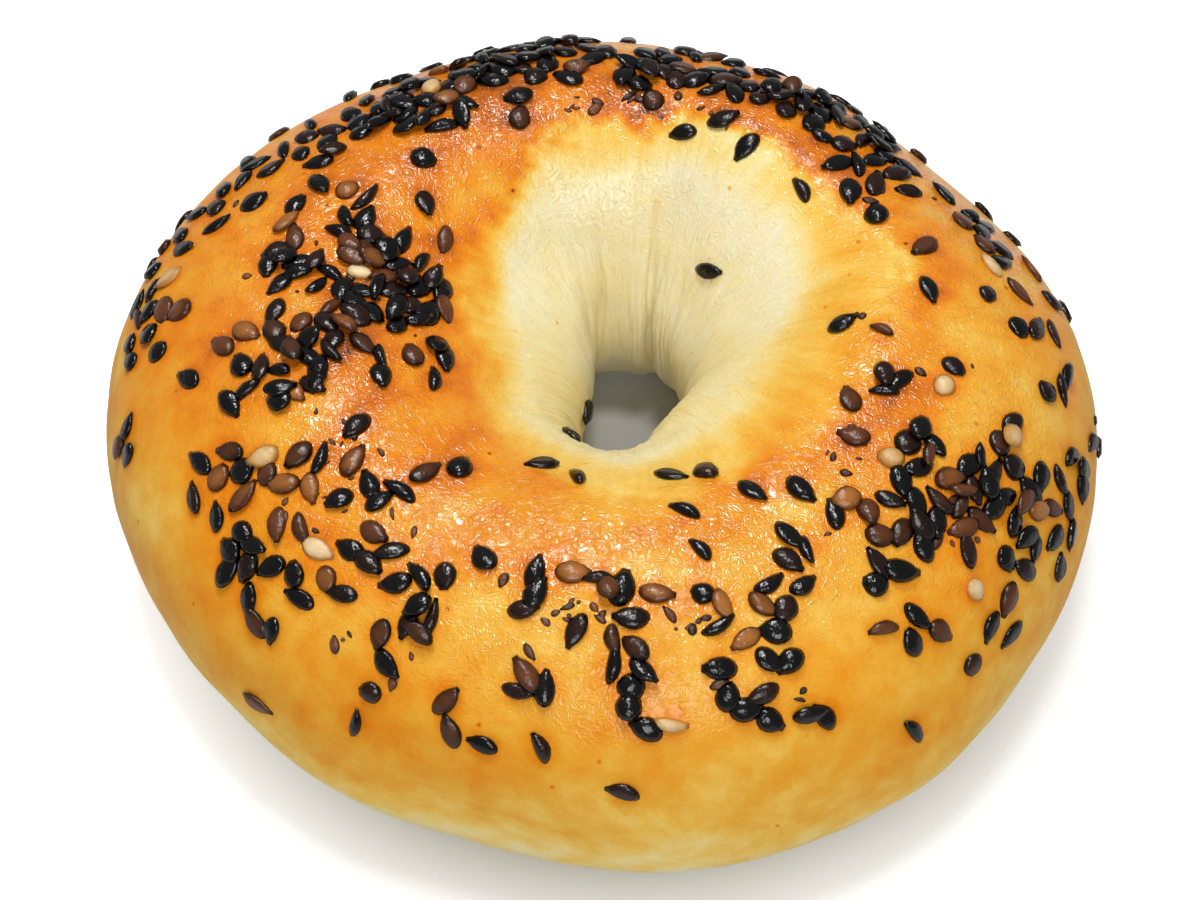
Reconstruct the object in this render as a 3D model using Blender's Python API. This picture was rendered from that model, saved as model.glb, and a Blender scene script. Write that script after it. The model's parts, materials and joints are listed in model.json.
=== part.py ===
"""A boiled and baked bagel: one ring of dough with a flat base and an off-centre, pinched hole.

Units are metres, +Z is up, and the origin is the middle of the base. +Y is the back of the ring,
where two folds run down the wall of the hole. The ring is swept from a closed dough section: at
every angle the section stretches from the rim of the hole to the outer outline.
"""

from math import atan2, cos, exp, hypot, pi, radians, sin

import bmesh
import bpy
from mathutils import Vector

# Driving dimensions.
OUTER_RADIUS = 0.0483
OUTER_DEPTH_SHARE = 0.99  # the outline from front to back, as a share of its width
DOUGH_HEIGHT = 0.0343
HEIGHT_RISE = 0.027  # share by which the height rises towards HEIGHT_RISE_AT, and falls opposite
HEIGHT_RISE_AT = radians(33)
HOLE_CENTRE = Vector((0.0031, 0.0061))
HOLE_HALF_WIDTH = 0.0045
HOLE_HALF_LENGTH = 0.0087
HOLE_TURN = radians(-10)

# Uneven outlines: (lobes round the ring, share of the radius, angle of the first lobe).
OUTER_LOBES = (
    (2, 0.039, radians(-25)),
    (3, 0.007, radians(30)),
    (4, 0.008, radians(0)),
)
HOLE_LOBES = ((3, 0.106, radians(7)),)

# The dough section. Shares run from 0 at the hole to 1 outside, and from 0 at the base to 1 on top.
CREST_AT = 0.50
HOLE_WAIST_AT = 0.36
OUTER_WAIST_AT = 0.416
BASE_CUT = 0.14  # how far the round underside would reach below the base, as a share of its waist
BASE_EASE = 0.018  # the round-over from the side to the flat base, as a share of the height
ROUND_FUNNEL = 1.75  # superellipse powers: 2 is round, more is fuller, less is flatter
ROUND_SHOULDER = 2.09
ROUND_OUTER_FOOT = 2.24
ROUND_HOLE_FOOT = 2.20

# Folds down the wall of the hole: (angle, depth, half width as an angle).
FOLDS = (
    (radians(125), 0.0010, radians(9)),
    (radians(72), 0.0012, radians(8)),
    (radians(2), 0.0006, radians(12)),
    (radians(212), 0.0005, radians(14)),
)
FOLD_REACH = 0.34  # how far up the funnel a fold runs, as a share of the section's width

# Long, low waves that keep the crust from being a perfect turning.
CRUST_WAVE = 0.00035
CRUST_WAVES_ROUND = 5
CRUST_WAVES_ACROSS = 2

STEPS_ROUND = 80
STEPS_SECTION = 36
GUIDE_RADIUS = 2.0  # the plain ring that is swept first, before its points take the dough's shape
GUIDE_TUBE = 1.0

CRUST_COLOUR = (0.78, 0.40, 0.10, 1.0)
CRUST_ROUGHNESS = 0.42


def lobed(angle, lobes):
    """The factor by which a radius swells or shrinks at this angle."""
    return 1 + sum(share * cos(count * (angle - first)) for count, share, first in lobes)


def outer_point(angle):
    """The dough's outline, seen from above."""
    radius = OUTER_RADIUS * lobed(angle, OUTER_LOBES)
    return Vector((radius * cos(angle), radius * sin(angle) * OUTER_DEPTH_SHARE))


def hole_point(angle):
    """The narrowest outline of the hole, an ellipse turned and pulled to three soft corners."""
    along, across = cos(angle - HOLE_TURN), sin(angle - HOLE_TURN)
    swell = lobed(angle, HOLE_LOBES)
    x = swell * HOLE_HALF_WIDTH * along
    y = swell * HOLE_HALF_LENGTH * across
    turned = Vector((x * cos(HOLE_TURN) - y * sin(HOLE_TURN), x * sin(HOLE_TURN) + y * cos(HOLE_TURN)))
    return HOLE_CENTRE + turned


def height_at(angle):
    return DOUGH_HEIGHT * (1 + HEIGHT_RISE * cos(angle - HEIGHT_RISE_AT))


def bowed(value, power):
    """A cosine or sine bent to a superellipse of this power, with its sign kept."""
    return abs(value) ** (2 / power) * (1 if value >= 0 else -1)


def eased_floor(height, ease):
    """The height cut off flat at 0, with a round-over of this size where it meets the flat."""
    if height >= ease:
        return height
    if height <= -ease:
        return 0.0
    return (height + ease) ** 2 / (4 * ease)


def section_shares(turn):
    """(share across, share up) at this turn of the section: 0 outside, a quarter on top, half at the hole."""
    out, up = cos(turn), sin(turn)
    if up >= 0:
        power = ROUND_SHOULDER if out >= 0 else ROUND_FUNNEL
    else:
        power = ROUND_OUTER_FOOT if out >= 0 else ROUND_HOLE_FOOT
    wide, tall = bowed(out, power), bowed(up, power)
    across = CREST_AT + (1 - CREST_AT if out >= 0 else CREST_AT) * wide
    side = (1 + out) / 2
    waist = HOLE_WAIST_AT + (OUTER_WAIST_AT - HOLE_WAIST_AT) * side * side * (3 - 2 * side)
    reach = 1 - waist if up >= 0 else waist * (1 + BASE_CUT)
    return across, eased_floor(waist + reach * tall, BASE_EASE)


def fold_depth(angle, across):
    """How far the folds push the wall of the hole back, at this angle and share across."""
    fade = exp(-((across / FOLD_REACH) ** 2))
    depth = 0.0
    for at, deep, half_width in FOLDS:
        away = atan2(sin(angle - at), cos(angle - at))
        depth += deep * exp(-((away / half_width) ** 2))
    return depth * fade


def dough_point(angle, turn):
    """The surface of the bagel at this angle round the ring and turn of its section."""
    across, up = section_shares(turn)
    hole, outer = hole_point(angle), outer_point(angle)
    outward = (outer - hole).normalized()
    wave = CRUST_WAVE * sin(CRUST_WAVES_ROUND * angle + CRUST_WAVES_ACROSS * turn)
    lift = wave * max(0.0, sin(turn))
    place = hole.lerp(outer, across) + outward * (fold_depth(angle, across) + wave * cos(turn) * min(1, up * 4))
    return Vector((place.x, place.y, height_at(angle) * up + lift))


def swept_ring():
    """A plain ring of quads, spun from a round section, with a point for each angle and turn."""
    shape = bmesh.new()
    made = bmesh.ops.create_circle(shape, segments=STEPS_SECTION, radius=GUIDE_TUBE)
    for vert in made["verts"]:
        x, y, _ = vert.co
        vert.co = Vector((GUIDE_RADIUS + x, 0.0, y))
    bmesh.ops.spin(
        shape,
        geom=shape.verts[:] + shape.edges[:],
        cent=(0, 0, 0),
        axis=(0, 0, 1),
        angle=2 * pi,
        steps=STEPS_ROUND,
        use_merge=True,
    )
    return shape


def centre_on_origin(shape):
    """Slides the ring so that its outline, seen from above, has its middle on the origin."""
    for axis in (0, 1):
        places = [vert.co[axis] for vert in shape.verts]
        middle = (min(places) + max(places)) / 2
        for vert in shape.verts:
            vert.co[axis] -= middle


def bagel_mesh():
    shape = swept_ring()
    for vert in shape.verts:
        angle = atan2(vert.co.y, vert.co.x)
        turn = atan2(vert.co.z, hypot(vert.co.x, vert.co.y) - GUIDE_RADIUS)
        vert.co = dough_point(angle, turn)
    centre_on_origin(shape)
    bmesh.ops.recalc_face_normals(shape, faces=shape.faces[:])
    mesh = bpy.data.meshes.new("bagel_dough")
    shape.to_mesh(mesh)
    shape.free()
    mesh.shade_smooth()
    return mesh


def crust_material():
    crust = bpy.data.materials.new("baked_crust")
    crust.use_nodes = True
    shader = crust.node_tree.nodes["Principled BSDF"]
    shader.inputs["Base Color"].default_value = CRUST_COLOUR
    shader.inputs["Roughness"].default_value = CRUST_ROUGHNESS
    shader.inputs["Metallic"].default_value = 0.0
    return crust


def clear_scene():
    for item in list(bpy.data.objects):
        bpy.data.objects.remove(item)


def main():
    clear_scene()
    mesh = bagel_mesh()
    mesh.materials.append(crust_material())
    bagel = bpy.data.objects.new("bagel_dough", mesh)
    bpy.context.scene.collection.objects.link(bagel)


main()
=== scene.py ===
"""Looks of a black sesame bagel, modelled around its packed ring of dough.

Metres, +Z up. A place on the ring is (angle, turn) in degrees. The angle goes round the hole, 0 at
+X and 90 at the back. The turn goes round the dough's section, 0 outside, 90 on top, 180 in the hole.
"""

import json
from math import atan2, cos, degrees, exp, hypot, pi, radians, sin
from random import Random

import bmesh
import bpy
from mathutils import Matrix, Vector, noise
from mathutils.bvhtree import BVHTree
from mathutils.kdtree import KDTree


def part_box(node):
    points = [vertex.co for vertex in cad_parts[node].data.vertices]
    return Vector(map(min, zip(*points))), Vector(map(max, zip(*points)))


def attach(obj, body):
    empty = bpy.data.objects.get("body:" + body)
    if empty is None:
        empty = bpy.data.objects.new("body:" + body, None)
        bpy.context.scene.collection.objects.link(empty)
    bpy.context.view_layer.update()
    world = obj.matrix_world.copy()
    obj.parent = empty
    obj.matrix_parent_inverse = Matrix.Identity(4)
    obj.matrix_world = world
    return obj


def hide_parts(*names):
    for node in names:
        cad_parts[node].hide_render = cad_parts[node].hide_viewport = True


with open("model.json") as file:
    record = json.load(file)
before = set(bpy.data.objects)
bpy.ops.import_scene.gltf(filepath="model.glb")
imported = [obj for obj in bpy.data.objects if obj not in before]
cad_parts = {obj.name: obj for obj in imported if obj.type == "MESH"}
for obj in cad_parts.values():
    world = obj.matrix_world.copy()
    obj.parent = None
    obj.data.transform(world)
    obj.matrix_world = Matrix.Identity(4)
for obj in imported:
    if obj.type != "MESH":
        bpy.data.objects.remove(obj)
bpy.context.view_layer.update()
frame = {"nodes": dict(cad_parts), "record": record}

MM = 0.001
DOUGH_NODE = "bagel_dough"
DOUGH_LOW, DOUGH_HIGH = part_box(DOUGH_NODE)
DOUGH_HEIGHT = DOUGH_HIGH.z - DOUGH_LOW.z
CORE_HEIGHT = 0.40 * DOUGH_HEIGHT  # the middle of the dough's section, which turns are measured round

# The camera looks down on the front of the ring.
CAMERA_ELEVATION = radians(53.15)
CAMERA_DISTANCE = 0.3474
CAMERA_LENS = 103.65
CAMERA_TARGET = Vector((0, 0, 0.435 * DOUGH_HEIGHT))
CAMERA_AIM_RIGHT = 0.00015
CAMERA_AIM_DOWN = 0.00113

# The lamps: (name, place, size, energy). The top one is small and bright, for glints on the crest.
SOFTBOXES = (
    ("front_softbox", (0.05, -0.50, 0.44), 0.30, 1.58),
    ("top_softbox", (0.02, 0.00, 0.62), 0.11, 1.00),
    ("back_softbox", (-0.08, 0.24, 0.56), 0.15, 1.55),
)
SKY_FILL = 0.24  # the strength of the white room on everything but the camera's own view

# Where the browned crust gives way to pale dough: (angle, turn of the border, half width of the fade,
# how yellow the dough is just inside it, how far that yellow reaches).
PALE_BORDER = (
    (0, 92, 4, 0.34, 28),
    (30, 94, 4, 0.26, 18),
    (60, 96, 4, 0.18, 12),
    (90, 101, 4, 0.22, 14),
    (120, 109, 4, 0.18, 12),
    (150, 124, 4, 0.24, 10),
    (180, 131, 6, 0.34, 13),
    (210, 130, 10, 0.28, 14),
    (240, 120, 10, 0.26, 20),
    (270, 106, 6, 0.24, 20),
    (300, 101, 7, 0.34, 32),
    (330, 98, 8, 0.40, 36),
)

# Creases that run down the wall of the hole: (angle, first turn, last turn, depth mm, half width mm,
# drift in degrees).
CREASES = (
    (108, 132, 208, 0.80, 0.42, 12.0),
    (80, 122, 210, 0.85, 0.40, -6.0),
    (89, 112, 150, 0.16, 0.40, -4.0),
    (122, 128, 180, 0.22, 0.60, 5.0),
    (52, 130, 185, 0.20, 0.55, -3.0),
    (20, 140, 185, 0.25, 0.60, -4.0),
    (196, 138, 190, 0.22, 0.55, 6.0),
    (330, 138, 180, 0.22, 0.55, 4.0),
)

PANEL_DEPTH = 0.35  # mm by which the wall lies back between the first two creases
PANEL_ANGLES = (60, 135)  # the panel lies well inside these angles

FOOT_BAKE = 0.14  # how browned the foot of the ring is, just above the tray

# Swellings and dents of the dough: (angle, turn, height mm, reach mm).
LUMPS = (
    (149, 127, 0.55, 3.0),
    (58, 110, 0.35, 5.0),
    (350, 100, 0.40, 6.0),
    (205, 70, 0.45, 9.0),
    (262, 62, -0.35, 8.0),
    (310, 60, 0.40, 9.0),
    (95, 84, 0.15, 7.0),
    (130, 60, -0.65, 9.0),
    (74, 66, -0.80, 9.0),
    (152, 56, -0.65, 9.0),
    (17, 50, -0.70, 9.0),
    (180, 88, -0.30, 6.0),
    (138, 160, 0.50, 4.5),
    (60, 172, 0.50, 4.5),
    (251, -6, -2.00, 8.5),
    (262, -8, -1.00, 9.0),
    (232, -2, -0.25, 8.0),
    (318, -4, -0.55, 9.0),
    (30, 62, -0.55, 9.0),
)

# Seeds as they fell: (angle, turn, reach along the ring mm, reach across it mm, the kinds of seed).
# K black, D dark brown, B brown, T tan, C cream.
SEEDS_BACK_LEFT = (
    (100, 61, 2.5, 1.0, "KKD"),
    (110, 62, 4.0, 1.5, "KKDKK"),
    (101, 74, 3.0, 2.0, "KDKD"),
    (104, 86, 0.8, 0.8, "KB"),
    (110, 80, 3.0, 2.5, "DKKDK"),
    (116, 76, 3.0, 3.5, "KKKKDKK"),
    (121, 62, 3.0, 1.2, "TDD"),
    (118, 91, 0.5, 0.5, "K"),
    (121, 98, 0.5, 0.5, "B"),
    (123, 76, 3.0, 2.5, "KDBK"),
    (137, 62, 4.0, 2.0, "KKDK"),
    (135, 71, 4.0, 3.0, "KKKDCKKD"),
    (134, 82, 4.0, 2.5, "KKDKKTK"),
    (142, 69, 3.0, 3.0, "KKKD"),
    (146, 93, 0.5, 0.5, "K"),
    (148, 52, 4.0, 2.0, "KKD"),
    (152, 62, 3.5, 2.5, "KKKDD"),
    (156, 46, 3.0, 3.0, "KKDK"),
    (156, 103, 0.5, 0.5, "D"),
    (160, 72, 0.5, 0.5, "K"),
    (162, 85, 1.2, 1.2, "DT"),
    (164, 45, 3.5, 4.5, "KKKDK"),
    (165, 70, 0.5, 0.5, "K"),
)
SEEDS_LEFT = (
    (170, 31, 3.0, 3.0, "KDBK"),
    (171, 72, 1.4, 1.0, "BT"),
    (169, 89, 1.6, 1.6, "KKK"),
    (170, 104, 0.5, 0.5, "K"),
    (173, 95, 1.8, 1.4, "BDB"),
    (165, 115, 0.5, 0.5, "B"),
    (177, 30, 2.6, 3.0, "KCKKB"),
    (178, 73, 3.2, 2.0, "KKKDKK"),
    (181, 82, 2.0, 2.0, "KKD"),
    (179, 95, 1.6, 1.6, "CBT"),
    (179, 108, 3.0, 3.2, "KKDKDK"),
    (184, 118, 1.0, 1.0, "KD"),
    (184, 33, 3.0, 4.5, "KKTKDB"),
    (186, 90, 2.4, 2.6, "KKBK"),
    (188, 72, 0.5, 0.5, "D"),
    (189, 105, 3.6, 4.4, "KKDKBKKDK"),
    (191, 120, 0.6, 0.6, "B"),
    (192, 60, 1.4, 1.4, "BT"),
    (193, 76, 2.4, 1.6, "DBB"),
    (194, 46, 0.5, 0.5, "K"),
    (195, 20, 2.0, 2.0, "KKB"),
    (196, 92, 2.6, 2.4, "DBDT"),
    (199, 64, 2.4, 2.8, "KKKD"),
    (199, 80, 2.4, 2.0, "KKDB"),
    (203, 74, 2.6, 2.2, "DTK"),
    (202, 56, 0.5, 0.5, "K"),
    (206, 69, 1.0, 0.8, "KK"),
    (206, 77, 0.6, 0.6, "K"),
    (206, 95, 1.8, 1.0, "KK"),
    (206, 106, 0.5, 0.5, "B"),
    (207, 115, 1.2, 0.8, "KK"),
    (213, 111, 0.5, 0.5, "K"),
)
SEEDS_FRONT_LEFT = (
    (208, 42, 2.6, 3.0, "DBKT"),
    (213, 38, 0.5, 0.5, "K"),
    (213, 51, 2.2, 2.4, "BTKC"),
    (216, 82, 0.5, 0.5, "D"),
    (217, 61, 2.4, 2.0, "TBT"),
    (217, 68, 0.5, 0.5, "K"),
    (217, 41, 0.6, 0.6, "K"),
    (220, 49, 0.5, 0.5, "B"),
    (221, 74, 0.5, 0.5, "T"),
    (221, 36, 2.8, 2.8, "KKKDKK"),
    (224, 65, 0.5, 0.5, "K"),
    (225, 51, 1.6, 1.6, "CB"),
    (226, 30, 1.4, 1.4, "KB"),
    (227, 42, 2.2, 1.2, "KK"),
    (228, 76, 2.0, 1.8, "KKK"),
    (230, 58, 0.5, 0.5, "K"),
    (231, 88, 0.5, 0.5, "B"),
    (232, 48, 1.5, 1.0, "DT"),
    (233, 63, 1.8, 1.6, "DBD"),
    (235, 97, 0.5, 0.5, "K"),
    (238, 60, 0.6, 0.6, "K"),
    (241, 45, 1.6, 2.4, "KDB"),
    (242, 65, 1.2, 1.6, "DK"),
    (243, 53, 1.6, 1.4, "DKB"),
    (240, 22, 0.5, 0.5, "K"),
    (241, 32, 0.5, 0.5, "D"),
    (247, 75, 0.5, 0.5, "K"),
    (247, 116, 0.5, 0.5, "D"),
    (249, 38, 0.5, 0.5, "B"),
    (252, 29, 1.8, 0.6, "KB"),
    (255, 71, 1.2, 2.2, "DKK"),
    (258, 46, 1.4, 1.4, "KDB"),
    (256, 115, 0.5, 0.5, "D"),
    (260, 33, 0.5, 0.5, "D"),
    (260, 78, 0.5, 0.5, "T"),
    (262, 64, 0.5, 0.5, "D"),
    (228, 8, 0.5, 0.5, "B"),
    (268, 21, 0.5, 0.5, "D"),
)
SEEDS_FRONT_RIGHT = (
    (266, 75, 1.4, 0.6, "KDB"),
    (269, 62, 1.8, 1.6, "BDB"),
    (269, 52, 1.8, 1.8, "KKK"),
    (269, 45, 0.6, 0.6, "K"),
    (272, 38, 1.2, 0.8, "CK"),
    (272, 70, 0.6, 0.6, "T"),
    (278, 93, 0.5, 0.5, "K"),
    (278, 110, 0.5, 0.5, "D"),
    (278, 68, 0.5, 0.5, "K"),
    (279, 80, 0.5, 0.5, "K"),
    (280, 62, 1.0, 1.4, "KT"),
    (279, 45, 1.0, 1.8, "KK"),
    (283, 38, 1.8, 1.8, "KDK"),
    (284, 107, 0.5, 0.5, "B"),
    (285, 52, 1.6, 1.8, "KTK"),
    (287, 46, 0.5, 0.5, "K"),
    (289, 61, 2.2, 1.8, "KKDT"),
    (291, 94, 0.5, 0.5, "K"),
    (293, 70, 1.4, 2.2, "KDK"),
    (289, 32, 1.0, 0.6, "KD"),
    (298, 86, 0.5, 0.5, "K"),
    (299, 44, 0.5, 0.5, "B"),
    (299, 17, 0.5, 0.5, "K"),
    (304, 73, 1.8, 1.4, "BKT"),
    (303, 53, 1.6, 1.8, "KKD"),
    (304, 37, 1.8, 2.0, "BKK"),
    (307, 62, 1.4, 0.8, "BB"),
    (311, 56, 1.8, 1.0, "KKD"),
    (312, 67, 1.6, 1.4, "KKD"),
    (314, 75, 0.6, 0.6, "C"),
    (312, 37, 0.5, 0.5, "C"),
    (316, 50, 2.4, 2.4, "BDBB"),
    (317, 90, 1.6, 2.4, "BB"),
    (319, 72, 2.8, 1.6, "KKDKB"),
    (319, 60, 2.6, 2.6, "KTBD"),
    (315, 23, 2.6, 2.0, "KKB"),
    (309, 22, 0.5, 0.5, "B"),
)
SEEDS_RIGHT = (
    (321, 34, 2.6, 3.0, "KKKDK"),
    (322, 56, 2.8, 2.0, "DKKB"),
    (325, 46, 2.6, 3.0, "KDKKB"),
    (328, 22, 2.6, 2.6, "KKD"),
    (327, 87, 1.6, 1.4, "KKD"),
    (330, 37, 2.8, 2.4, "DBKT"),
    (331, 53, 1.8, 1.2, "DBC"),
    (334, 75, 1.4, 0.9, "DC"),
    (335, 28, 2.6, 3.0, "KKDK"),
    (337, 94, 0.5, 0.5, "B"),
    (338, 105, 0.5, 0.5, "K"),
    (341, 46, 0.8, 1.2, "D"),
    (346, 41, 1.4, 1.0, "KD"),
    (349, 57, 0.6, 0.6, "K"),
    (350, 84, 0.5, 0.5, "K"),
    (352, 48, 1.4, 1.4, "BD"),
    (353, 66, 0.6, 0.6, "D"),
    (357, 56, 0.6, 0.6, "B"),
    (0, 62, 0.8, 0.6, "C"),
    (2, 81, 0.5, 0.5, "B"),
    (3, 59, 0.6, 0.6, "K"),
    (8, 57, 1.8, 1.4, "KDB"),
    (13, 57, 2.0, 2.0, "KBK"),
    (12, 89, 0.5, 0.5, "K"),
    (19, 76, 0.5, 0.5, "D"),
    (20, 58, 0.6, 0.6, "K"),
    (21, 91, 0.6, 0.6, "K"),
    (27, 83, 2.4, 2.6, "KKDK"),
    (28, 100, 0.5, 0.5, "D"),
    (31, 71, 3.2, 3.0, "KKDKKD"),
    (37, 66, 3.0, 1.8, "KBKK"),
    (40, 76, 3.0, 2.6, "KKDK"),
    (43, 68, 1.8, 1.4, "KD"),
    (50, 76, 3.4, 2.8, "KDKKDK"),
    (52, 98, 0.5, 0.5, "K"),
    (55, 76, 2.0, 1.6, "KKB"),
    (61, 82, 2.2, 1.2, "KDD"),
    (64, 94, 0.5, 0.5, "D"),
    (67, 68, 2.6, 1.6, "KKD"),
    (70, 82, 2.4, 2.2, "KBKD"),
    (73, 103, 0.4, 0.4, "K"),
    (36, 136, 0.4, 0.4, "K"),
    (77, 65, 2.2, 1.4, "DBK"),
    (79, 84, 2.0, 2.0, "DBD"),
    (84, 75, 2.4, 2.6, "KKDK"),
    (84, 93, 0.5, 0.5, "B"),
    (89, 83, 1.6, 2.4, "KKKD"),
)
# Two seeds low in the hole, and the thin sowing of the far side and the flanks.
SEEDS_FAR = (
    (206, 182, 0.3, 0.3, "K"),
    (243, 158, 0.3, 0.3, "K"),
    (88, 48, 5.0, 3.0, "KDK"),
    (66, 40, 6.0, 4.0, "KKDB"),
    (44, 42, 6.0, 4.0, "KDKBK"),
    (22, 36, 5.0, 3.0, "KD"),
    (5, 34, 5.0, 4.0, "KBT"),
    (110, 40, 6.0, 4.0, "KKDKT"),
    (130, 44, 6.0, 3.0, "KDKK"),
    (141, 30, 5.0, 3.0, "KB"),
    (95, 26, 8.0, 3.0, "KD"),
    (52, 20, 8.0, 3.0, "KD"),
    (165, 18, 5.0, 3.0, "KD"),
    (122, 14, 6.0, 2.0, "B"),
    (345, 18, 5.0, 3.0, "KD"),
    (12, 12, 6.0, 2.0, "K"),
)
SEED_PATCHES = (
    SEEDS_BACK_LEFT + SEEDS_LEFT + SEEDS_FRONT_LEFT + SEEDS_FRONT_RIGHT + SEEDS_RIGHT + SEEDS_FAR
)

# Chips and broken ends of seeds: (angle, turn, reach along mm, reach across mm, how many).
CHIP_PATCHES = (
    (89, 94, 1.6, 0.5, 5),
    (103, 97, 3.0, 1.0, 6),
    (66, 96, 2.0, 0.8, 3),
    (20, 84, 3.0, 2.0, 4),
    (341, 100, 0.8, 0.8, 2),
    (262, 66, 3.0, 1.5, 8),
    (276, 62, 2.0, 1.5, 6),
    (216, 74, 4.0, 3.0, 9),
    (222, 60, 4.0, 3.0, 9),
    (181, 90, 5.0, 4.0, 12),
    (317, 52, 4.0, 3.0, 10),
    (311, 84, 4.0, 3.0, 6),
    (240, 40, 5.0, 3.0, 5),
    (284, 40, 5.0, 3.0, 6),
)
LOOSE_CHIPS = 70
LOOSE_CHIP_REACH = 4.2  # mm from the seed that a loose chip came from
CHIP_SHARES = (0.16, 0.20, 0.24, 0.30, 0.38, 0.46)  # a chip's size, as a share of its seed's

# One shape of seed each: (length mm, width mm, thickness mm, pointedness, beak mm, dimple, bow mm).
SEED_SHAPES = (
    (3.20, 2.15, 1.10, 0.34, 0.14, 0.12, 0.10),
    (3.35, 2.05, 1.00, 0.40, 0.16, 0.18, -0.14),
    (3.05, 2.35, 1.15, 0.26, 0.10, 0.06, 0.00),
    (3.25, 1.80, 0.90, 0.36, 0.16, 0.22, 0.18),
    (2.70, 2.15, 1.00, 0.18, 0.02, 0.14, -0.06),
    (3.40, 1.95, 0.85, 0.42, 0.12, 0.26, 0.08),
    (3.30, 1.35, 0.95, 0.22, 0.08, 0.08, 0.26),
)
SEED_SEGMENTS = 16
SEED_SPREAD = 0.08  # how much one seed's size differs from the next, as a share of it
SEED_CLEARANCE = 1.9 * MM  # seeds with their middles closer than this lie on one another
SEED_STEP_UP = 0.30 * MM  # how much higher a seed lies for each one under it
SEED_HEIGHT = 0.16 * MM  # how far a seed's middle stands above the skin it is pressed into
SEED_TRIES = 24  # places tried for each seed, of which the one with the most room is taken
TILT_ALONE = 7  # degrees by which a seed leans, when it lies alone and when it lies on others
TILT_CROWDED = 17
# The halo round each seed is partly real browning and partly painted contact shade.
HALO_REACH = 2.3 * MM  # how far from a seed's middle the crust is browned by it and darkened by painted contact shade
HALO_BAKE_AND_SHADE = 0.13


def hex_colour(text):
    """An sRGB hex colour as linear RGBA."""
    shares = [int(text[i : i + 2], 16) / 255 for i in (0, 2, 4)]
    linear = [s / 12.92 if s <= 0.04045 else ((s + 0.055) / 1.055) ** 2.4 for s in shares]
    return (*linear, 1.0)


def eased(value, low, high):
    """0 below low, 1 above high, and a smooth step between."""
    share = min(1.0, max(0.0, (value - low) / (high - low)))
    return share * share * (3 - 2 * share)


def angle_between(first, second):
    """How far one angle is past another, from -180 to 180 degrees."""
    return (first - second + 180) % 360 - 180


def select_only(piece):
    """Makes this piece the only selected one, and the one that operators act on."""
    bpy.ops.object.select_all(action="DESELECT")
    piece.select_set(True)
    bpy.context.view_layer.objects.active = piece


def apply_modifier(piece, kind, **settings):
    """Adds a modifier with its settings and applies it."""
    select_only(piece)
    modifier = piece.modifiers.new(kind.title(), kind)
    for name, value in settings.items():
        setattr(modifier, name, value)
    bpy.ops.object.modifier_apply(modifier=modifier.name)


def surface_tree(mesh):
    """The mesh's surface, ready to find the nearest or the first place on it."""
    places = [vert.co.copy() for vert in mesh.vertices]
    return BVHTree.FromPolygons(places, [tuple(face.vertices) for face in mesh.polygons])


# ---------------------------------------------------------------- the ring's own coordinates


class Ring:
    """Turns a place on the dough into (angle, turn), and back."""

    def __init__(self, mesh):
        self.tree = surface_tree(mesh)
        low, high = frame["record"]["physics"]["openings"][0]["box_m"]
        self.hole = Vector(((low[0] + high[0]) / 2, (low[1] + high[1]) / 2, CORE_HEIGHT))
        self.core = [self.core_at(step) for step in range(360)]

    def core_at(self, angle):
        """How far the middle of the dough lies from the middle of the hole, at this angle."""
        way = Vector((cos(radians(angle)), sin(radians(angle)), 0))
        inner = self.tree.ray_cast(self.hole, way)[0]
        outer = self.tree.ray_cast(self.hole + way * 2 * DOUGH_HIGH.x, -way)[0]
        return ((inner + outer) / 2 - self.hole).length

    def core_radius(self, angle):
        """The same distance, eased between whole degrees."""
        whole = int(angle // 1) % 360
        part = angle % 1
        return self.core[whole] * (1 - part) + self.core[(whole + 1) % 360] * part

    def coordinates(self, place):
        """(angle, turn) of a place, with the turn from -90 to 270."""
        east, north = place.x - self.hole.x, place.y - self.hole.y
        angle = degrees(atan2(north, east)) % 360
        turn = degrees(atan2(place.z - CORE_HEIGHT, hypot(east, north) - self.core_radius(angle)))
        return angle, turn if turn >= -90 else turn + 360

    def skin_at(self, angle, turn):
        """The place on the skin and the way out of it, at this angle and turn."""
        round_way = Vector((cos(radians(angle)), sin(radians(angle)), 0))
        middle = self.hole + round_way * self.core_radius(angle % 360)
        way = round_way * cos(radians(turn)) + Vector((0, 0, sin(radians(turn))))
        place, out, _, _ = self.tree.ray_cast(middle, way)
        return place, out


def border_at(angle):
    """(turn, half width, yellow, reach) of the pale dough's border, eased between the named angles."""
    span = 360 / len(PALE_BORDER)
    first = int(angle // span) % len(PALE_BORDER)
    share = eased(angle % span, 0, span)
    start, end = PALE_BORDER[first], PALE_BORDER[(first + 1) % len(PALE_BORDER)]
    return [low + (high - low) * share for low, high in zip(start[1:], end[1:])]


# ---------------------------------------------------------------- dough


def dough_copy():
    """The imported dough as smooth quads, fine enough to hold its creases."""
    crust = bpy.data.objects.new("baked_crust", frame["nodes"][DOUGH_NODE].data.copy())
    bpy.context.scene.collection.objects.link(crust)
    crust.data.materials.clear()
    select_only(crust)
    bpy.ops.object.mode_set(mode="EDIT")
    bpy.ops.mesh.select_all(action="SELECT")
    bpy.ops.mesh.remove_doubles(threshold=0.01 * MM)
    bpy.ops.mesh.tris_convert_to_quads()
    bpy.ops.object.mode_set(mode="OBJECT")
    apply_modifier(crust, "SUBSURF", levels=2, render_levels=2)
    bpy.ops.object.shade_smooth()
    return crust


def wave(place, size_mm, seed=0):
    """Soft noise from -1 to 1, with swells of this size."""
    return noise.noise(place / (size_mm * MM) + Vector((seed * 7.3, seed * 3.1, seed * 5.7)))


def pale_share(angle, turn, place):
    """0 on the browned crust and 1 on the pale dough of the hole."""
    border, fade, _, _ = border_at(angle)
    ragged = turn + 5.5 * wave(place, 5.0, 1) + 4.0 * wave(place, 1.8, 2) + 2.5 * wave(place, 0.9, 17)
    return eased(ragged, border - fade, border + fade)


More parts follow.
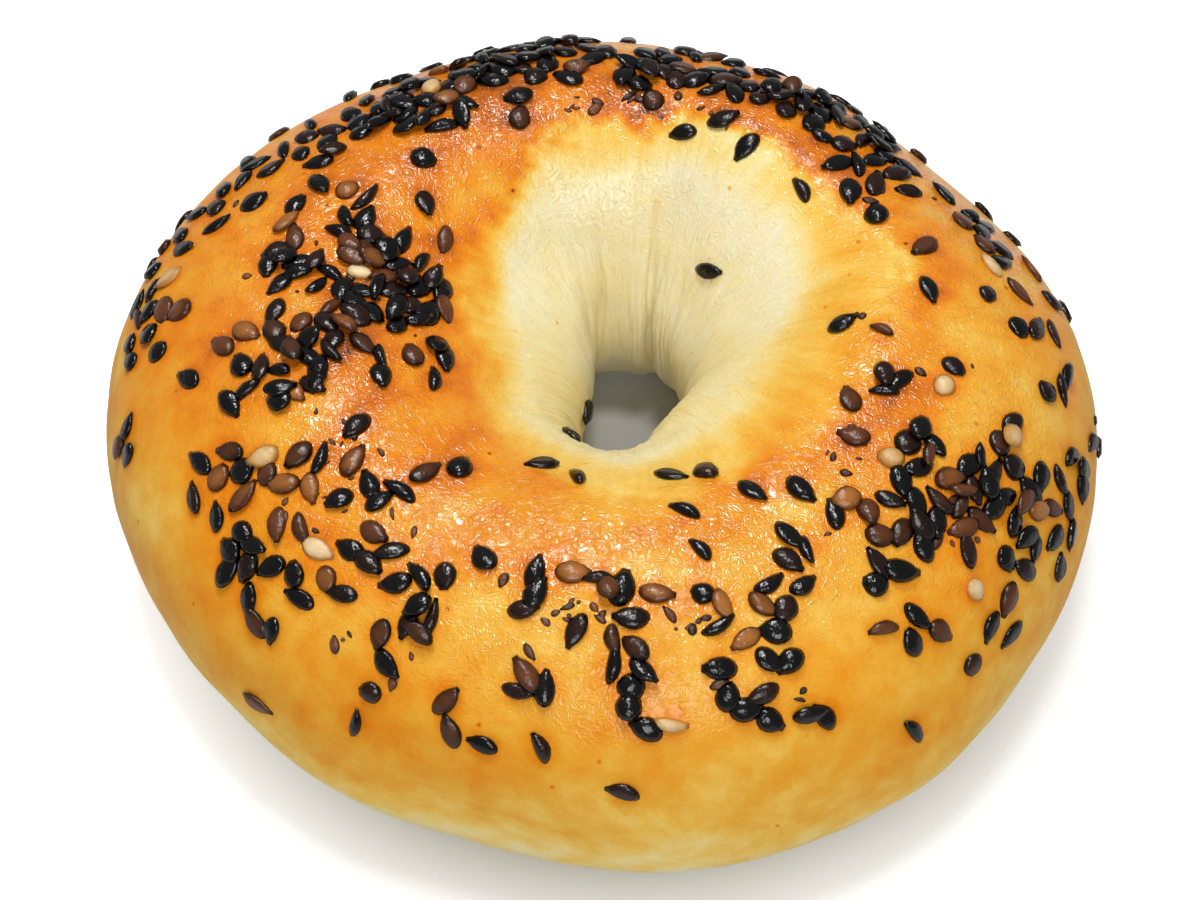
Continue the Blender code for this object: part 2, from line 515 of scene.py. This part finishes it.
def fibre_place(angle, turn):
    """A place stretched along the section, so that noise read there runs down into the hole."""
    return Vector((14 * cos(radians(angle)), 14 * sin(radians(angle)), turn * 0.035))


def crease_angle(crease, turn):
    """The angle at which a crease runs, at this turn."""
    at, first, last, _, _, drift = crease
    return at + drift * (turn - first) / (last - first) + 1.2 * noise.noise(Vector((at, turn * 0.06, 0)))


def crease_depth(ring, angle, turn):
    """How deep the creases in the hole's wall are here, in millimetres."""
    depth = 0.0
    middle = ring.core_radius(angle) * (1 - 0.55 * eased(turn, 90, 180)) / MM
    for crease in CREASES:
        _, first, last, deep, half_width, _ = crease
        along = (turn - first) / (last - first)
        if -0.2 < along < 1.2:
            fade = eased(along, -0.1, 0.35) * (1 - eased(along, 0.8, 1.15))
            away = radians(angle_between(angle, crease_angle(crease, turn))) * middle
            depth += deep * fade * exp(-((away / half_width) ** 2))
    if PANEL_ANGLES[0] < angle < PANEL_ANGLES[1]:
        past = radians(angle_between(angle, crease_angle(CREASES[1], turn))) * middle
        before = radians(angle_between(crease_angle(CREASES[0], turn), angle)) * middle
        inside = eased(past, -0.4, 0.5) * eased(before, -0.4, 0.5)
        depth += PANEL_DEPTH * inside * eased(turn, 132, 168) * (1 - eased(turn, 205, 240))
    return depth


def relief(ring, lumps, place, angle, turn):
    """How far the skin stands out from the smooth dough, in millimetres."""
    pale = pale_share(angle, turn, place)
    height = 0.26 * wave(place, 13, 3) + 0.13 * wave(place, 5.5, 4)
    height += (0.03 + 0.05 * eased(turn, 30, 70)) * wave(place, 2.4, 5)
    height += 0.20 * (1 - pale) * exp(-(((turn - border_at(angle)[0]) / 12) ** 2))
    flutes = noise.noise(fibre_place(angle, turn) * 1.1) + 0.6 * noise.noise(fibre_place(angle, turn) * 2.3)
    height += 0.16 * eased(turn, 112, 140) * (1 - eased(turn, 195, 225)) * flutes
    height -= crease_depth(ring, angle, turn)
    for middle, tall, reach in lumps:
        away = (place - middle).length / (reach * MM)
        if away < 2.5:
            height += tall * exp(-away * away)
    return height


def golden_bake(angle, turn, place, border):
    """The bake of the browned crust: deeper on top, at the back left and along its border."""
    back_left = cos(radians(angle - 125))
    golden = 0.45 + 0.10 * eased(turn, 12, 40) + 0.10 * eased(turn, 60, 90)
    golden += 0.07 * back_left * eased(turn, 15, 60)
    blotch = 0.08 + 0.10 * eased(turn, 45, 75)
    golden += 0.13 * wave(place, 16, 6) + blotch * wave(place, 6.5, 7) + 0.6 * blotch * wave(place, 2.8, 8)
    rim = exp(-(((turn - border + 12) / 9) ** 2))
    golden += 0.14 * rim * (0.5 + 0.9 * wave(place, 9, 9))
    crisp = exp(-(((turn + 3 * wave(place, 5.0, 1) - border + 3) / 3.5) ** 2))
    golden += 0.09 * crisp * eased(cos(radians(angle - 80)), -0.35, 0.3)
    foot_top = 11 + 10 * eased(-sin(radians(angle)), 0.2, 0.8)
    foot = 1 - eased(place.z / MM + 1.6 * wave(place, 9, 10), 0.2 * foot_top, foot_top)
    return golden + (FOOT_BAKE - golden) * foot


def pale_bake(angle, turn, place, border, yellow, reach):
    """The bake of the pale dough in the hole: cream, and yellow for some way inside its border."""
    past = turn + 5 * wave(place, 7, 15) - border
    yellow *= 0.9 + 0.7 * wave(place, 9, 16) + 0.25 * noise.noise(fibre_place(angle, turn) * 0.8)
    inside = 0.04 + 0.05 * eased(sin(radians(angle)), 0.2, -0.6)
    inside += yellow * eased(past, -12, 3) * (1 - eased(past, 0.35 * reach, 1.3 * reach))
    inside += 0.05 * wave(place, 5, 11) * eased(turn, 85, 120)
    return max(inside, 0.0)


def bake_at(angle, turn, place):
    """How browned the skin is: 0 is raw cream, 0.6 golden, 0.8 orange and 1 burnt. Also its pale share."""
    border, _, yellow, reach = border_at(angle)
    golden = golden_bake(angle, turn, place, border)
    pale = pale_share(angle, turn, place)
    bake = golden + (pale_bake(angle, turn, place, border, yellow, reach) - golden) * pale
    underside = 1 - eased(place.z / MM, 0.12, 0.7)
    tray = 0.56 + 0.10 * wave(place, 8, 12) + 0.07 * wave(place, 2.5, 13)
    return bake + (tray - bake) * underside, pale


def add_point_values(mesh, name, kind, values):
    """Keeps a value for each point, for the materials to read."""
    attribute = mesh.attributes.new(name, kind, "POINT")
    key = "vector" if kind == "FLOAT_VECTOR" else "value"
    attribute.data.foreach_set(key, values)


def shape_crust(crust, ring):
    """Gives the smooth dough its relief, and notes on its points how it baked."""
    mesh = crust.data
    mesh.update()
    lumps = [(ring.skin_at(angle, turn)[0], tall, reach) for angle, turn, tall, reach in LUMPS]
    outward = [vert.normal.copy() for vert in mesh.vertices]
    bakes, pales, glosses, fibres = [], [], [], []
    for vert, out in zip(mesh.vertices, outward):
        place = vert.co.copy()
        angle, turn = ring.coordinates(place)
        bake, pale = bake_at(angle, turn, place)
        bakes.append(bake)
        pales.append(pale)
        wall = eased(turn, 125, 160)
        glosses.append(eased(turn + 10 * wave(place, 10, 14), 22, 66) * (1 - 0.45 * pale - 0.35 * wall))
        fibres.extend(fibre_place(angle, turn))
        free = eased(place.z / MM, 0.05, 1.6)
        vert.co = place + out * relief(ring, lumps, place, angle, turn) * free * MM
    add_point_values(mesh, "bake", "FLOAT", bakes)
    add_point_values(mesh, "pale", "FLOAT", pales)
    add_point_values(mesh, "gloss", "FLOAT", glosses)
    add_point_values(mesh, "fibre", "FLOAT_VECTOR", fibres)
    for vert in mesh.vertices:
        vert.co.z = max(vert.co.z, 0.0)
    mesh.update()


# ---------------------------------------------------------------- seeds


def select_where(piece, test):
    """Opens the piece in edit mode with only the points selected that pass the test."""
    select_only(piece)
    bpy.ops.object.mode_set(mode="EDIT")
    bpy.ops.mesh.select_mode(type="VERT")
    bpy.ops.mesh.select_all(action="DESELECT")
    bpy.ops.object.mode_set(mode="OBJECT")
    for vert in piece.data.vertices:
        vert.select = test(vert.co)
    bpy.ops.object.mode_set(mode="EDIT")


def seed_mesh(number, length, width, thickness, pointed, beak, dimple, bow):
    """A plump teardrop with its blunt point towards +X, a knob on it and a dimple on each face."""
    bpy.ops.object.select_all(action="DESELECT")
    bpy.ops.mesh.primitive_uv_sphere_add(segments=SEED_SEGMENTS, ring_count=4, radius=0.5)
    seed = bpy.context.object
    seed.name = f"seed_shape_{number}"
    bpy.ops.object.mode_set(mode="EDIT")
    bpy.ops.mesh.select_all(action="SELECT")
    half_step = radians(180 / SEED_SEGMENTS)
    bpy.ops.transform.rotate(value=half_step, orient_axis="Z", center_override=(0, 0, 0))
    bpy.ops.transform.resize(value=(length * MM, width * MM, thickness * MM))
    bpy.ops.object.mode_set(mode="OBJECT")
    half = length * MM / 2
    for vert in seed.data.vertices:
        ahead = vert.co.x / half
        vert.co.y *= 1 - pointed * max(0.0, ahead) ** 2.3 + 0.06 * (1 - ahead * ahead) * (ahead < 0)
        vert.co.y += bow * MM * (ahead * ahead - 0.4)
        vert.co.z *= 1 - 0.22 * max(0.0, ahead)
    select_where(seed, lambda place: place.x > 0.93 * half)
    bpy.ops.transform.translate(value=(beak * MM, 0, 0))
    bpy.ops.transform.resize(value=(1, 2.0, 1.3))
    bpy.ops.object.mode_set(mode="OBJECT")
    select_where(seed, lambda place: hypot(place.x, place.y) < 0.05 * half)
    bpy.ops.transform.resize(value=(1, 1, 1 - dimple * 2))
    bpy.ops.object.mode_set(mode="OBJECT")
    mesh = seed.data
    bpy.data.objects.remove(seed)
    mesh.shade_smooth()
    return mesh


class Sower:
    """Presses seeds into the skin, and lays one on another where they are crowded."""

    def __init__(self, ring, skin):
        self.ring = ring
        self.skin = skin
        self.dice = Random(7)
        self.taken = []
        self.laid = {}

    def spot_near(self, place, out, along, across):
        """A chance place on the skin, within reach of this one."""
        side = out.cross(Vector((0, 0, 1)))
        side = side.normalized() if side.length > 0.01 else Vector((1, 0, 0))
        uphill = out.cross(side)
        reach, way = self.dice.random() ** 0.5, self.dice.uniform(0, 2 * pi)
        offset = side * along * cos(way) + uphill * across * sin(way)
        spot, normal, _, _ = self.skin.find_nearest(place + offset * reach * MM)
        return spot, normal

    def room_at(self, spot):
        """How far the nearest seed laid so far is."""
        return min(((spot - other).length for other in self.taken), default=1.0)

    def lay(self, kind, place, out, along, across):
        """Finds room for one seed and notes where it lies."""
        tries = [self.spot_near(place, out, along, across) for _ in range(SEED_TRIES)]
        spot, normal = max(tries, key=lambda found: self.room_at(found[0]))
        crowd = sum((spot - other).length < SEED_CLEARANCE for other in self.taken)
        tilt = radians(TILT_ALONE if crowd == 0 else TILT_CROWDED)
        lean = Vector([self.dice.gauss(0, 1) for _ in range(3)]) * tilt * 0.7
        up = (normal + lean).normalized()
        if up.dot(normal) < 0.75:
            up = normal.copy()
        heading = self.dice.uniform(0, 2 * pi)
        turn = up.to_track_quat("Z", "Y").to_matrix().to_4x4() @ Matrix.Rotation(heading, 4, "Z")
        size = Matrix.Diagonal((*(self.dice.gauss(1, SEED_SPREAD) for _ in range(3)), 1))
        lift = SEED_HEIGHT + min(crowd, 2) * SEED_STEP_UP
        matrix = Matrix.Translation(spot + normal * lift) @ turn @ size
        self.taken.append(spot)
        shape = self.dice.randrange(len(SEED_SHAPES))
        self.laid.setdefault(kind, []).append((shape, matrix, self.dice.random()))

    def sow(self, patches):
        """Lays the seeds of every patch, in the order in which they are named."""
        for angle, turn, along, across, kinds in patches:
            place, _ = self.ring.skin_at(angle, turn)
            spot, normal, _, _ = self.skin.find_nearest(place)
            for kind in kinds:
                self.lay(kind, spot, normal, along, across)

    def lay_chip(self, spot, normal):
        """Lays a broken bit of a seed on the skin."""
        share = self.dice.choice(CHIP_SHARES)
        turn = normal.to_track_quat("Z", "Y").to_matrix().to_4x4()
        turn = turn @ Matrix.Rotation(self.dice.uniform(0, 2 * pi), 4, "Z")
        size = Matrix.Diagonal((share * self.dice.uniform(0.8, 1.4), share, share * 1.15, 1))
        matrix = Matrix.Translation(spot + normal * 0.04 * MM) @ turn @ size
        shape = self.dice.randrange(len(SEED_SHAPES))
        self.laid.setdefault("chip", []).append((shape, matrix, self.dice.random()))

    def scatter_chips(self):
        """Chips in their own patches, and more near the seeds that they came from."""
        for angle, turn, along, across, count in CHIP_PATCHES:
            place, _ = self.ring.skin_at(angle, turn)
            middle, out, _, _ = self.skin.find_nearest(place)
            for _ in range(count):
                self.lay_chip(*self.spot_near(middle, out, along, across))
        for _ in range(LOOSE_CHIPS):
            near, out, _, _ = self.skin.find_nearest(self.dice.choice(self.taken))
            spot, normal = self.spot_near(near, out, LOOSE_CHIP_REACH, LOOSE_CHIP_REACH)
            if self.room_at(spot) > 1.5 * MM:
                self.lay_chip(spot, normal)


def joined_seeds(name, shapes, laid):
    """One piece of all the seeds of a kind, each with its own tone and a darker margin."""
    grown = bmesh.new()
    tone = grown.verts.layers.float.new("tone")
    margin = grown.verts.layers.float.new("margin")
    inner = grown.verts.layers.float_vector.new("on_seed")
    for shape, matrix, shade in laid:
        length, width = SEED_SHAPES[shape][:2]
        first = len(grown.verts)
        grown.from_mesh(shapes[shape])
        grown.verts.ensure_lookup_table()
        for vert in grown.verts[first:]:
            vert[inner] = vert.co / MM + Vector((shade * 90, shade * 37, 0))
            vert[margin] = min(1.0, 2 * hypot(vert.co.x / length, vert.co.y / width) / MM)
            vert[tone] = shade
            vert.co = matrix @ vert.co
    mesh = bpy.data.meshes.new(name)
    grown.to_mesh(mesh)
    grown.free()
    mesh.shade_smooth()
    piece = bpy.data.objects.new(name, mesh)
    bpy.context.scene.collection.objects.link(piece)
    return piece


def brown_and_shade_round_seeds(crust, places):
    """Darkens the crust in a halo round each seed: partly browning where it baked against the hull, partly
    painted contact shade.
    """
    finder = KDTree(len(places))
    for number, place in enumerate(places):
        finder.insert(place, number)
    finder.balance()
    bakes, pales = crust.data.attributes["bake"].data, crust.data.attributes["pale"].data
    for vert, bake, pale in zip(crust.data.vertices, bakes, pales):
        away = finder.find(vert.co)[2]
        near = 1 - eased(away, 0.5 * HALO_REACH, HALO_REACH)
        # painted contact shade and browning, added to the crust's bake near each seed
        bake.value += HALO_BAKE_AND_SHADE * (1 - 0.75 * pale.value) * near


# ---------------------------------------------------------------- materials


def add(tree, kind, inputs=None, **settings):
    """Adds a node with its settings, and gives its inputs plain values or other nodes' outputs."""
    node = tree.nodes.new(kind)
    for name, value in settings.items():
        setattr(node, name, value)
    for name, value in (inputs or {}).items():
        if isinstance(value, bpy.types.NodeSocket):
            tree.links.new(value, node.inputs[name])
        else:
            node.inputs[name].default_value = value
    return node


def new_material(name):
    """A material with its node tree and its main shader."""
    material = bpy.data.materials.new(name)
    material.use_nodes = True
    tree = material.node_tree
    return material, tree, tree.nodes["Principled BSDF"]


def set_ramp(node, stops):
    """Gives a colour ramp its stops: (position, sRGB hex)."""
    ramp = node.color_ramp
    while len(ramp.elements) > 1:
        ramp.elements.remove(ramp.elements[-1])
    ramp.elements[0].position = stops[0][0]
    ramp.elements[0].color = hex_colour(stops[0][1])
    for position, colour in stops[1:]:
        ramp.elements.new(position).color = hex_colour(colour)


def swells(size_mm):
    """The scale of a pattern whose swells are this size, on coordinates in metres."""
    return 1 / (size_mm * MM)


# The browning of a crust, from raw dough to burnt.
BAKE_COLOURS = (
    (0.00, "f6efcc"),
    (0.10, "f6e6ac"),
    (0.20, "f6d984"),
    (0.32, "f5c658"),
    (0.45, "f0ae36"),
    (0.58, "ee9a20"),
    (0.70, "ea860f"),
    (0.82, "d97208"),
    (0.92, "b45c0a"),
    (1.00, "6a3210"),
)

# The crust's patterns: the size of a swell, and how far from its own bake the pattern takes the skin.
MOTTLE_MM, MOTTLE_SHIFT = 3.33333, 0.46
FLECK_MM, FLECK_SHIFT = 0.588235, 0.12
PIT_SPACING_MM, PIT_SHIFT = 3.33333, 0.38
PITS_LEFT_OUT = 0.60  # the share of the pits' cells that stay clear
WRINKLE_MM = 0.952381
STREAK_SCALE, STREAK_SHIFT = 2.6, 0.22  # streaks of about 0.4 mm, drawn down into the hole
SKIN_WRINKLE_DEPTH = 0.36 * MM
WASH_WRINKLE_DEPTH = 0.27 * MM  # the wash fills the wrinkles, so that they are shallower on its surface
STREAK_DEPTH = 0.20 * MM


def browned_crust(tree, where, bake, pale, streaks):
    """The skin's own bake, with soft mottle, fine flecks, streaks in the pale dough and burnt pits."""
    patches = add(
        tree,
        "ShaderNodeTexNoise",
        {"Vector": where, "Scale": swells(MOTTLE_MM), "Detail": 4, "Roughness": 0.55},
    )
    flecks = add(
        tree,
        "ShaderNodeTexNoise",
        {"Vector": where, "Scale": swells(FLECK_MM), "Detail": 3, "Roughness": 0.6},
    )
    middle = -0.5 * (MOTTLE_SHIFT + FLECK_SHIFT)
    mottle = add(
        tree,
        "ShaderNodeMath",
        {0: patches.outputs["Fac"], 1: MOTTLE_SHIFT, 2: middle},
        operation="MULTIPLY_ADD",
    )
    uneven = add(
        tree,
        "ShaderNodeMath",
        {0: flecks.outputs["Fac"], 1: FLECK_SHIFT, 2: mottle.outputs[0]},
        operation="MULTIPLY_ADD",
    )
    crust_share = add(tree, "ShaderNodeMath", {0: pale, 1: -0.72, 2: 1.0}, operation="MULTIPLY_ADD")
    mottled = add(
        tree,
        "ShaderNodeMath",
        {0: uneven.outputs[0], 1: crust_share.outputs[0], 2: bake},
        operation="MULTIPLY_ADD",
    )
    brushed = add(
        tree,
        "ShaderNodeMath",
        {0: streaks, 1: STREAK_SHIFT, 2: -0.5 * STREAK_SHIFT},
        operation="MULTIPLY_ADD",
    )
    streaked = add(
        tree,
        "ShaderNodeMath",
        {0: brushed.outputs[0], 1: pale, 2: mottled.outputs[0]},
        operation="MULTIPLY_ADD",
    )
    cells = add(tree, "ShaderNodeTexVoronoi", {"Vector": where, "Scale": swells(PIT_SPACING_MM)})
    pit = add(
        tree,
        "ShaderNodeMapRange",
        {"Value": cells.outputs["Distance"], "From Min": 0.10, "From Max": 0.03},
    )
    some = add(
        tree, "ShaderNodeMath", {0: cells.outputs["Color"], 1: PITS_LEFT_OUT}, operation="GREATER_THAN"
    )
    pits = add(tree, "ShaderNodeMath", {0: pit.outputs["Result"], 1: some.outputs[0]}, operation="MULTIPLY")
    return add(
        tree,
        "ShaderNodeMath",
        {0: pits.outputs[0], 1: PIT_SHIFT, 2: streaked.outputs[0]},
        operation="MULTIPLY_ADD",
    ).outputs[0]


def crust_material():
    """Boiled wheat dough, egg-washed and baked: satin gold to orange, glossy in fine wrinkles on top."""
    material, tree, shader = new_material("egg_washed_bagel_crust")
    where = add(tree, "ShaderNodeTexCoord").outputs["Object"]
    bake = add(tree, "ShaderNodeAttribute", attribute_name="bake").outputs["Fac"]
    pale = add(tree, "ShaderNodeAttribute", attribute_name="pale").outputs["Fac"]
    gloss = add(tree, "ShaderNodeAttribute", attribute_name="gloss").outputs["Fac"]
    fibre = add(tree, "ShaderNodeAttribute", attribute_name="fibre").outputs["Vector"]
    streaks = add(
        tree,
        "ShaderNodeTexNoise",
        {"Vector": fibre, "Scale": STREAK_SCALE, "Detail": 3, "Roughness": 0.6},
    ).outputs["Fac"]
    colour = add(tree, "ShaderNodeValToRGB", {"Fac": browned_crust(tree, where, bake, pale, streaks)})
    set_ramp(colour, BAKE_COLOURS)
    rough = add(tree, "ShaderNodeMath", {0: gloss, 1: -0.14, 2: 0.50}, operation="MULTIPLY_ADD")

    # The skin dries into fine winding ridges, which the glossy wash follows and pools beside.
    worms = add(
        tree,
        "ShaderNodeTexNoise",
        {"Vector": where, "Scale": swells(WRINKLE_MM), "Detail": 2, "Distortion": 1.0},
    )
    middle = add(tree, "ShaderNodeMath", {0: worms.outputs["Fac"], 1: 0.5}, operation="SUBTRACT")
    ridges = add(tree, "ShaderNodeMath", {0: middle.outputs[0]}, operation="ABSOLUTE")
    wrinkled = add(tree, "ShaderNodeMath", {0: gloss, 1: 0.20}, operation="ADD")
    wrinkle = add(
        tree, "ShaderNodeMath", {0: ridges.outputs[0], 1: wrinkled.outputs[0]}, operation="MULTIPLY"
    )
    fine = add(
        tree,
        "ShaderNodeBump",
        {"Height": wrinkle.outputs[0], "Strength": 1.0, "Distance": SKIN_WRINKLE_DEPTH},
    )
    drawn = add(tree, "ShaderNodeMath", {0: pale, 1: 0.10}, operation="ADD")
    streak = add(tree, "ShaderNodeMath", {0: streaks, 1: drawn.outputs[0]}, operation="MULTIPLY")
    skin = add(
        tree,
        "ShaderNodeBump",
        {
            "Height": streak.outputs[0],
            "Normal": fine.outputs["Normal"],
            "Strength": 1.0,
            "Distance": STREAK_DEPTH,
        },
    )
    egg_wash = add(
        tree,
        "ShaderNodeBump",
        {"Height": wrinkle.outputs[0], "Strength": 1.0, "Distance": WASH_WRINKLE_DEPTH},
    )
    wet = add(
        tree,
        "ShaderNodeMapRange",
        {"Value": ridges.outputs[0], "From Min": 0.14, "From Max": 0.04, "To Min": 0.35, "To Max": 1.0},
    )
    coat = add(
        tree, "ShaderNodeMath", {0: gloss, 1: wet.outputs["Result"], 2: 0.04}, operation="MULTIPLY_ADD"
    )

    tree.links.new(colour.outputs["Color"], shader.inputs["Base Color"])
    tree.links.new(rough.outputs[0], shader.inputs["Roughness"])
    tree.links.new(skin.outputs["Normal"], shader.inputs["Normal"])
    tree.links.new(egg_wash.outputs["Normal"], shader.inputs["Coat Normal"])
    tree.links.new(coat.outputs[0], shader.inputs["Coat Weight"])
    shader.inputs["Coat Roughness"].default_value = 0.06
    shader.inputs["Specular IOR Level"].default_value = 0.10
    shader.inputs["IOR"].default_value = 1.45
    shader.inputs["Subsurface Weight"].default_value = 0.12
    shader.inputs["Subsurface Radius"].default_value = (1.0, 0.55, 0.25)
    shader.inputs["Subsurface Scale"].default_value = 1.2 * MM
    return material


# A hull's patterns are read on the seed's own coordinates, which are in millimetres.
HULL_BLOTCH_SCALE = 1 / 1.11111
HULL_WRINKLE_SCALE = 1 / 0.588235
HULL_WRINKLE_DEPTH = 0.10 * MM
HULL_EDGE_DARKENING = 0.55


def hull_material(name, dark, light, roughness):
    """Toasted sesame hull: satin to glossy, a little wrinkled, darker at its margin, each its own tone."""
    material, tree, shader = new_material(name)
    tone = add(tree, "ShaderNodeAttribute", attribute_name="tone").outputs["Fac"]
    margin = add(tree, "ShaderNodeAttribute", attribute_name="margin").outputs["Fac"]
    on_seed = add(tree, "ShaderNodeAttribute", attribute_name="on_seed").outputs["Vector"]
    blotch = add(tree, "ShaderNodeTexNoise", {"Vector": on_seed, "Scale": HULL_BLOTCH_SCALE, "Detail": 3})
    both = add(tree, "ShaderNodeMath", {0: tone, 1: blotch.outputs["Fac"]}, operation="ADD")
    share = add(tree, "ShaderNodeMath", {0: both.outputs[0], 1: 0.5}, operation="MULTIPLY")
    edge = add(tree, "ShaderNodeMath", {0: margin, 1: 3.0}, operation="POWER")
    darkened = add(
        tree,
        "ShaderNodeMath",
        {0: edge.outputs[0], 1: -HULL_EDGE_DARKENING, 2: share.outputs[0]},
        operation="MULTIPLY_ADD",
    )
    colour = add(tree, "ShaderNodeValToRGB", {"Fac": darkened.outputs[0]})
    set_ramp(colour, ((0.05, dark), (0.75, light)))
    wrinkles = add(
        tree, "ShaderNodeTexNoise", {"Vector": on_seed, "Scale": HULL_WRINKLE_SCALE, "Detail": 2}
    )
    skin = add(
        tree,
        "ShaderNodeBump",
        {"Height": wrinkles.outputs["Fac"], "Strength": 1.0, "Distance": HULL_WRINKLE_DEPTH},
    )
    tree.links.new(colour.outputs["Color"], shader.inputs["Base Color"])
    tree.links.new(skin.outputs["Normal"], shader.inputs["Normal"])
    shader.inputs["Roughness"].default_value = roughness
    shader.inputs["IOR"].default_value = 1.45
    return material


# The floor is plain white to the camera away from the ring, and keeps its shadow near it.
SHADOW_MIDDLE = (0.003, -0.0005, 0)
SHADOW_INNER = 0.038
SHADOW_OUTER = 0.056


def floor_material():
    """Matt white sweep, which reads as plain white away from the shadow."""
    material, tree, shader = new_material("matt_white_sweep")
    shader.inputs["Base Color"].default_value = hex_colour("d6d6d6")
    shader.inputs["Roughness"].default_value = 0.9
    shader.inputs["Specular IOR Level"].default_value = 0.1
    place = add(tree, "ShaderNodeTexCoord").outputs["Object"]
    past = add(tree, "ShaderNodeVectorMath", {0: place, 1: SHADOW_MIDDLE}, operation="SUBTRACT")
    away = add(tree, "ShaderNodeVectorMath", {0: past.outputs["Vector"]}, operation="LENGTH")
    open_floor = add(
        tree,
        "ShaderNodeMapRange",
        {
            "Value": away.outputs["Value"],
            "From Min": SHADOW_INNER,
            "From Max": SHADOW_OUTER,
            "To Max": 0.90,
        },
    )
    path = add(tree, "ShaderNodeLightPath")
    seen = add(
        tree,
        "ShaderNodeMath",
        {0: path.outputs["Is Camera Ray"], 1: open_floor.outputs["Result"]},
        operation="MULTIPLY",
    )
    glow = add(tree, "ShaderNodeEmission", {"Strength": seen.outputs[0]})
    both = add(tree, "ShaderNodeAddShader", {0: shader.outputs["BSDF"], 1: glow.outputs["Emission"]})
    tree.links.new(both.outputs["Shader"], tree.nodes["Material Output"].inputs["Surface"])
    return material


# ---------------------------------------------------------------- stage, light and camera


def add_floor():
    """A wide white floor under the ring."""
    bpy.ops.object.select_all(action="DESELECT")
    bpy.ops.mesh.primitive_plane_add(size=4, location=(0, 0, DOUGH_LOW.z))
    floor = bpy.context.object
    floor.name = "studio_floor"
    floor.data.materials.append(floor_material())


def add_softbox(name, place, size, energy):
    """A round softbox at this place, turned to the ring. Its size is in metres and its energy in watts."""
    bpy.ops.object.light_add(type="AREA", location=place)
    lamp = bpy.context.object
    lamp.name = name
    lamp.data.shape = "DISK"
    lamp.data.size = size
    lamp.data.energy = energy
    lamp.rotation_euler = (-Vector(place)).to_track_quat("-Z", "Y").to_euler()


def add_sky():
    """An even white room: plain white to the camera, and a soft fill to everything else."""
    world = bpy.data.worlds.new("white_room")
    bpy.context.scene.world = world
    world.use_nodes = True
    tree = world.node_tree
    path = add(tree, "ShaderNodeLightPath")
    strength = add(
        tree,
        "ShaderNodeMath",
        {0: path.outputs["Is Camera Ray"], 1: 1 - SKY_FILL, 2: SKY_FILL},
        operation="MULTIPLY_ADD",
    )
    tree.links.new(strength.outputs[0], tree.nodes["Background"].inputs["Strength"])
    tree.nodes["Background"].inputs["Color"].default_value = (1, 1, 1, 1)


def add_camera():
    """The camera in front of the ring, aimed a little beside its middle."""
    back = Vector((0, -cos(CAMERA_ELEVATION), sin(CAMERA_ELEVATION)))
    above = Vector((0, sin(CAMERA_ELEVATION), cos(CAMERA_ELEVATION)))
    place = CAMERA_TARGET + back * CAMERA_DISTANCE
    aim = CAMERA_TARGET + Vector((CAMERA_AIM_RIGHT, 0, 0)) - above * CAMERA_AIM_DOWN
    bpy.ops.object.camera_add(location=place)
    camera = bpy.context.object
    camera.data.lens = CAMERA_LENS
    camera.data.clip_start = 0.01
    camera.rotation_euler = (aim - place).to_track_quat("-Z", "Y").to_euler()
    bpy.context.scene.camera = camera


# ---------------------------------------------------------------- putting it together

# Each kind of seed: the name of its piece, and its (finish, darkest, lightest, roughness).
KIND_NAMES = {
    "K": "black_sesame_seeds",
    "D": "dark_brown_sesame_seeds",
    "B": "brown_sesame_seeds",
    "T": "tan_sesame_seeds",
    "C": "cream_sesame_seeds",
    "chip": "sesame_chips",
}
KIND_FINISH = {
    "K": ("black_sesame_hull", "030303", "0d0a0a", 0.17),
    "D": ("dark_brown_sesame_hull", "0a0504", "2a130c", 0.22),
    "B": ("brown_sesame_hull", "1e0d06", "6a3a1c", 0.28),
    "T": ("tan_sesame_hull", "4a220c", "ac6c2e", 0.28),
    "C": ("hulled_sesame_kernel", "c08b45", "f2dcab", 0.38),
    "chip": ("broken_sesame_hull", "120806", "7c4626", 0.32),
}


def build():
    """The crust, then the seeds pressed into it, each kind of them as one piece."""
    crust = dough_copy()
    ring = Ring(crust.data)
    shape_crust(crust, ring)
    crust.data.materials.append(crust_material())
    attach(crust, "root")
    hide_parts(DOUGH_NODE)
    shapes = [seed_mesh(number, *sizes) for number, sizes in enumerate(SEED_SHAPES)]
    sower = Sower(ring, surface_tree(crust.data))
    sower.sow(SEED_PATCHES)
    sower.scatter_chips()
    # browns the crust round each seed and paints contact shade there
    brown_and_shade_round_seeds(crust, sower.taken)
    for kind, laid in sower.laid.items():
        piece = joined_seeds(KIND_NAMES[kind], shapes, laid)
        piece.data.materials.append(hull_material(*KIND_FINISH[kind]))
        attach(piece, "root")
    for mesh in shapes:
        bpy.data.meshes.remove(mesh)


build()
add_floor()
add_sky()
for softbox in SOFTBOXES:
    add_softbox(*softbox)
add_camera()
bpy.context.scene.view_settings.view_transform = "Standard"
